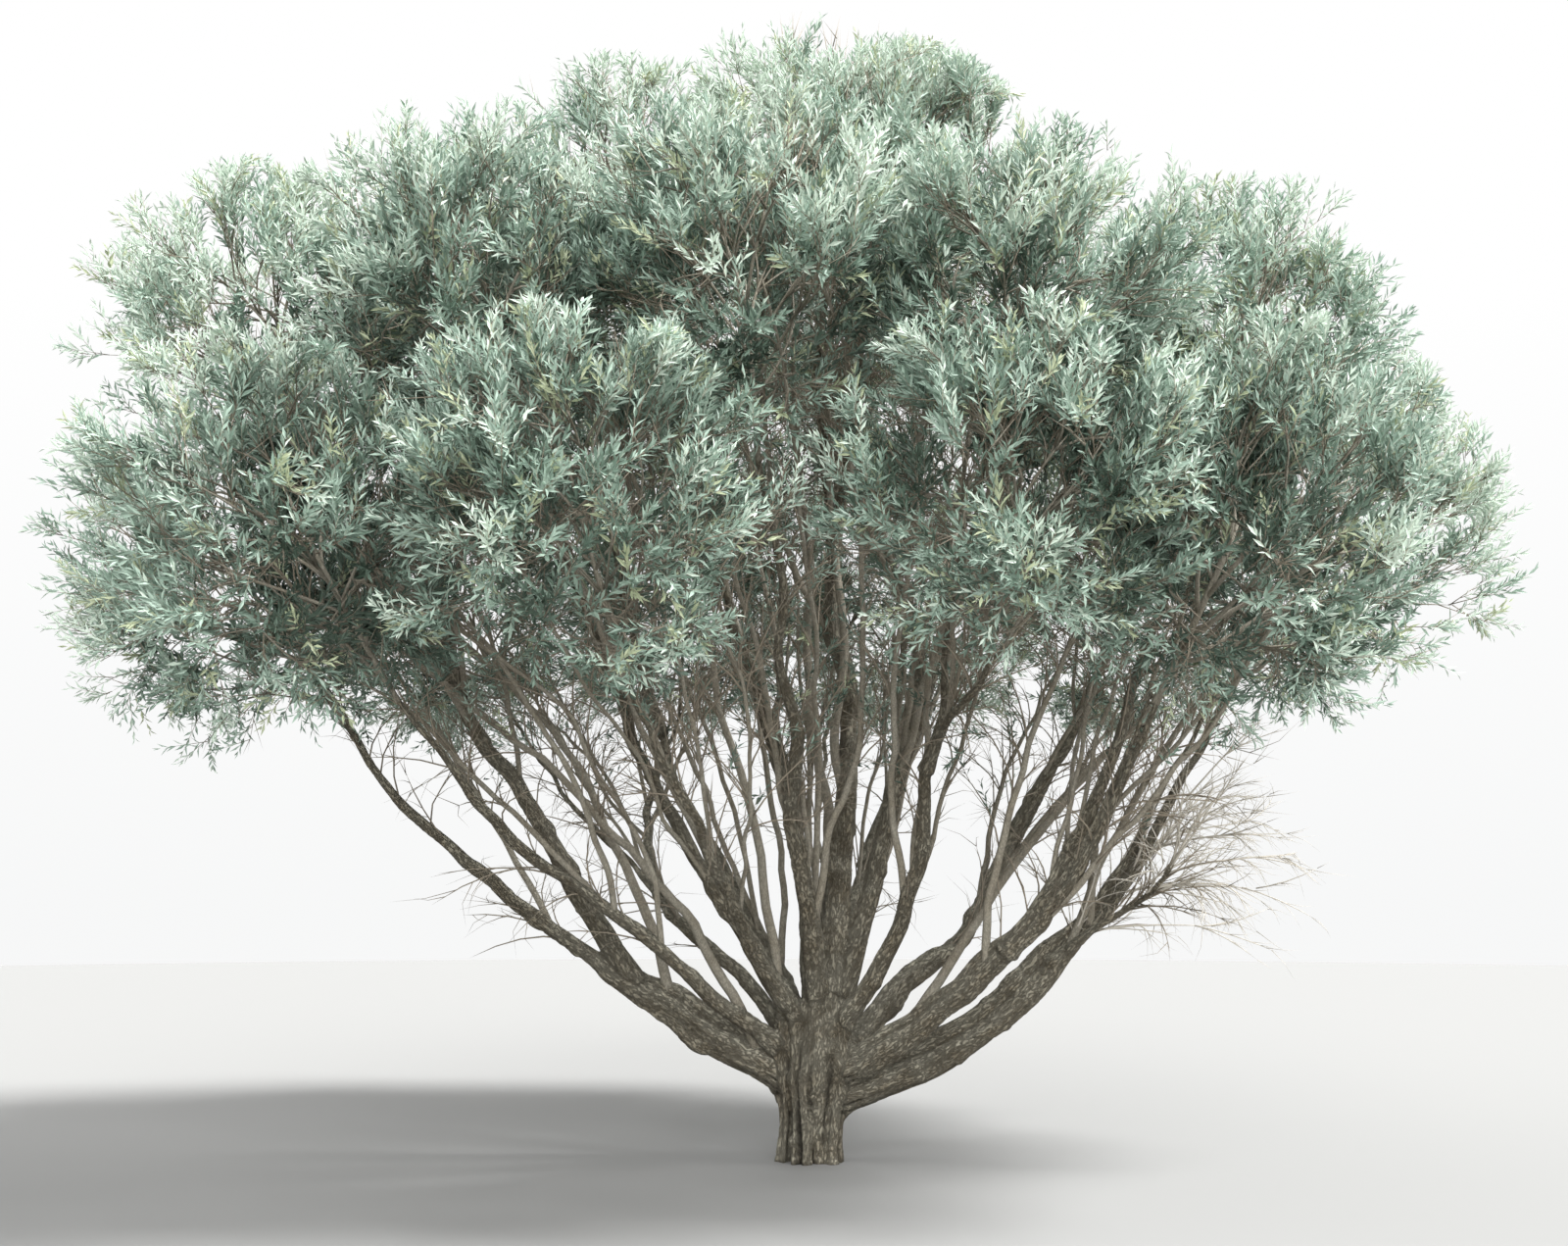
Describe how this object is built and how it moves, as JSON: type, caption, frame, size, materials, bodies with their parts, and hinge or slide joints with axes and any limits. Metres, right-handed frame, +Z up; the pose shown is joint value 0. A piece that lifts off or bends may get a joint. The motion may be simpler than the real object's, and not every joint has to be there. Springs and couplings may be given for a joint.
{
  "type": "olive tree",
  "caption": "Rooted garden olive tree: short fluted trunk, a fan of long leaning boughs from low down, and a wide dense dome of narrow grey-green leaves",
  "frame": {"origin": "middle of the flat cut under the trunk, at ground level", "axes": "+Z is up, -Y is the side the picture sees, and +X is to the right of that view"},
  "size_m": [8.9482, 7.2249, 7.1042],
  "materials": {
    "bark": "rough grey-brown bark with paler patches",
    "foliage": "matte silvery grey-green leaves",
    "dead_wood": "dry pale bare twigs"
  },
  "bodies": {
    "root": {"bare_right_bough": "dead_wood", "bare_right_twigs": "dead_wood", "high_back_bough": "bark", "high_back_leaves": "foliage", "high_front_bough": "bark", "high_front_leaves": "foliage", "high_left_back_bough": "bark", "high_left_back_leaves": "foliage", "high_left_bough": "bark", "high_left_front_bough": "bark", "high_left_front_leaves": "foliage", "high_left_leaves": "foliage", "high_right_bough": "bark", "high_right_leaves": "foliage", "low_back_left_bough": "bark", "low_back_left_leaves": "foliage", "low_back_right_bough": "bark", "low_back_right_leaves": "foliage", "low_front_bough": "bark", "low_front_leaves": "foliage", "low_front_left_bough": "bark", "low_front_left_leaves": "foliage", "low_front_right_bough": "bark", "low_front_right_leaves": "foliage", "low_left_back_bough": "bark", "low_left_back_leaves": "foliage", "low_left_bough": "bark", "low_left_front_bough": "bark", "low_left_front_leaves": "foliage", "low_left_leaves": "foliage", "low_right_back_bough": "bark", "low_right_back_leaves": "foliage", "low_right_bough": "bark", "low_right_leaves": "foliage", "mid_back_left_bough": "bark", "mid_back_left_leaves": "foliage", "mid_back_right_bough": "bark", "mid_back_right_leaves": "foliage", "mid_front_left_bough": "bark", "mid_front_left_leaves": "foliage", "mid_front_right_bough": "bark", "mid_front_right_leaves": "foliage", "mid_left_back_bough": "bark", "mid_left_back_leaves": "foliage", "mid_left_bough": "bark", "mid_left_front_bough": "bark", "mid_left_front_leaves": "foliage", "mid_left_leaves": "foliage", "mid_right_bough": "bark", "mid_right_front_bough": "bark", "mid_right_front_leaves": "foliage", "mid_right_leaves": "foliage", "top_bough": "bark", "top_leaves": "foliage", "trunk": "bark"}
  },
  "joints": []
}
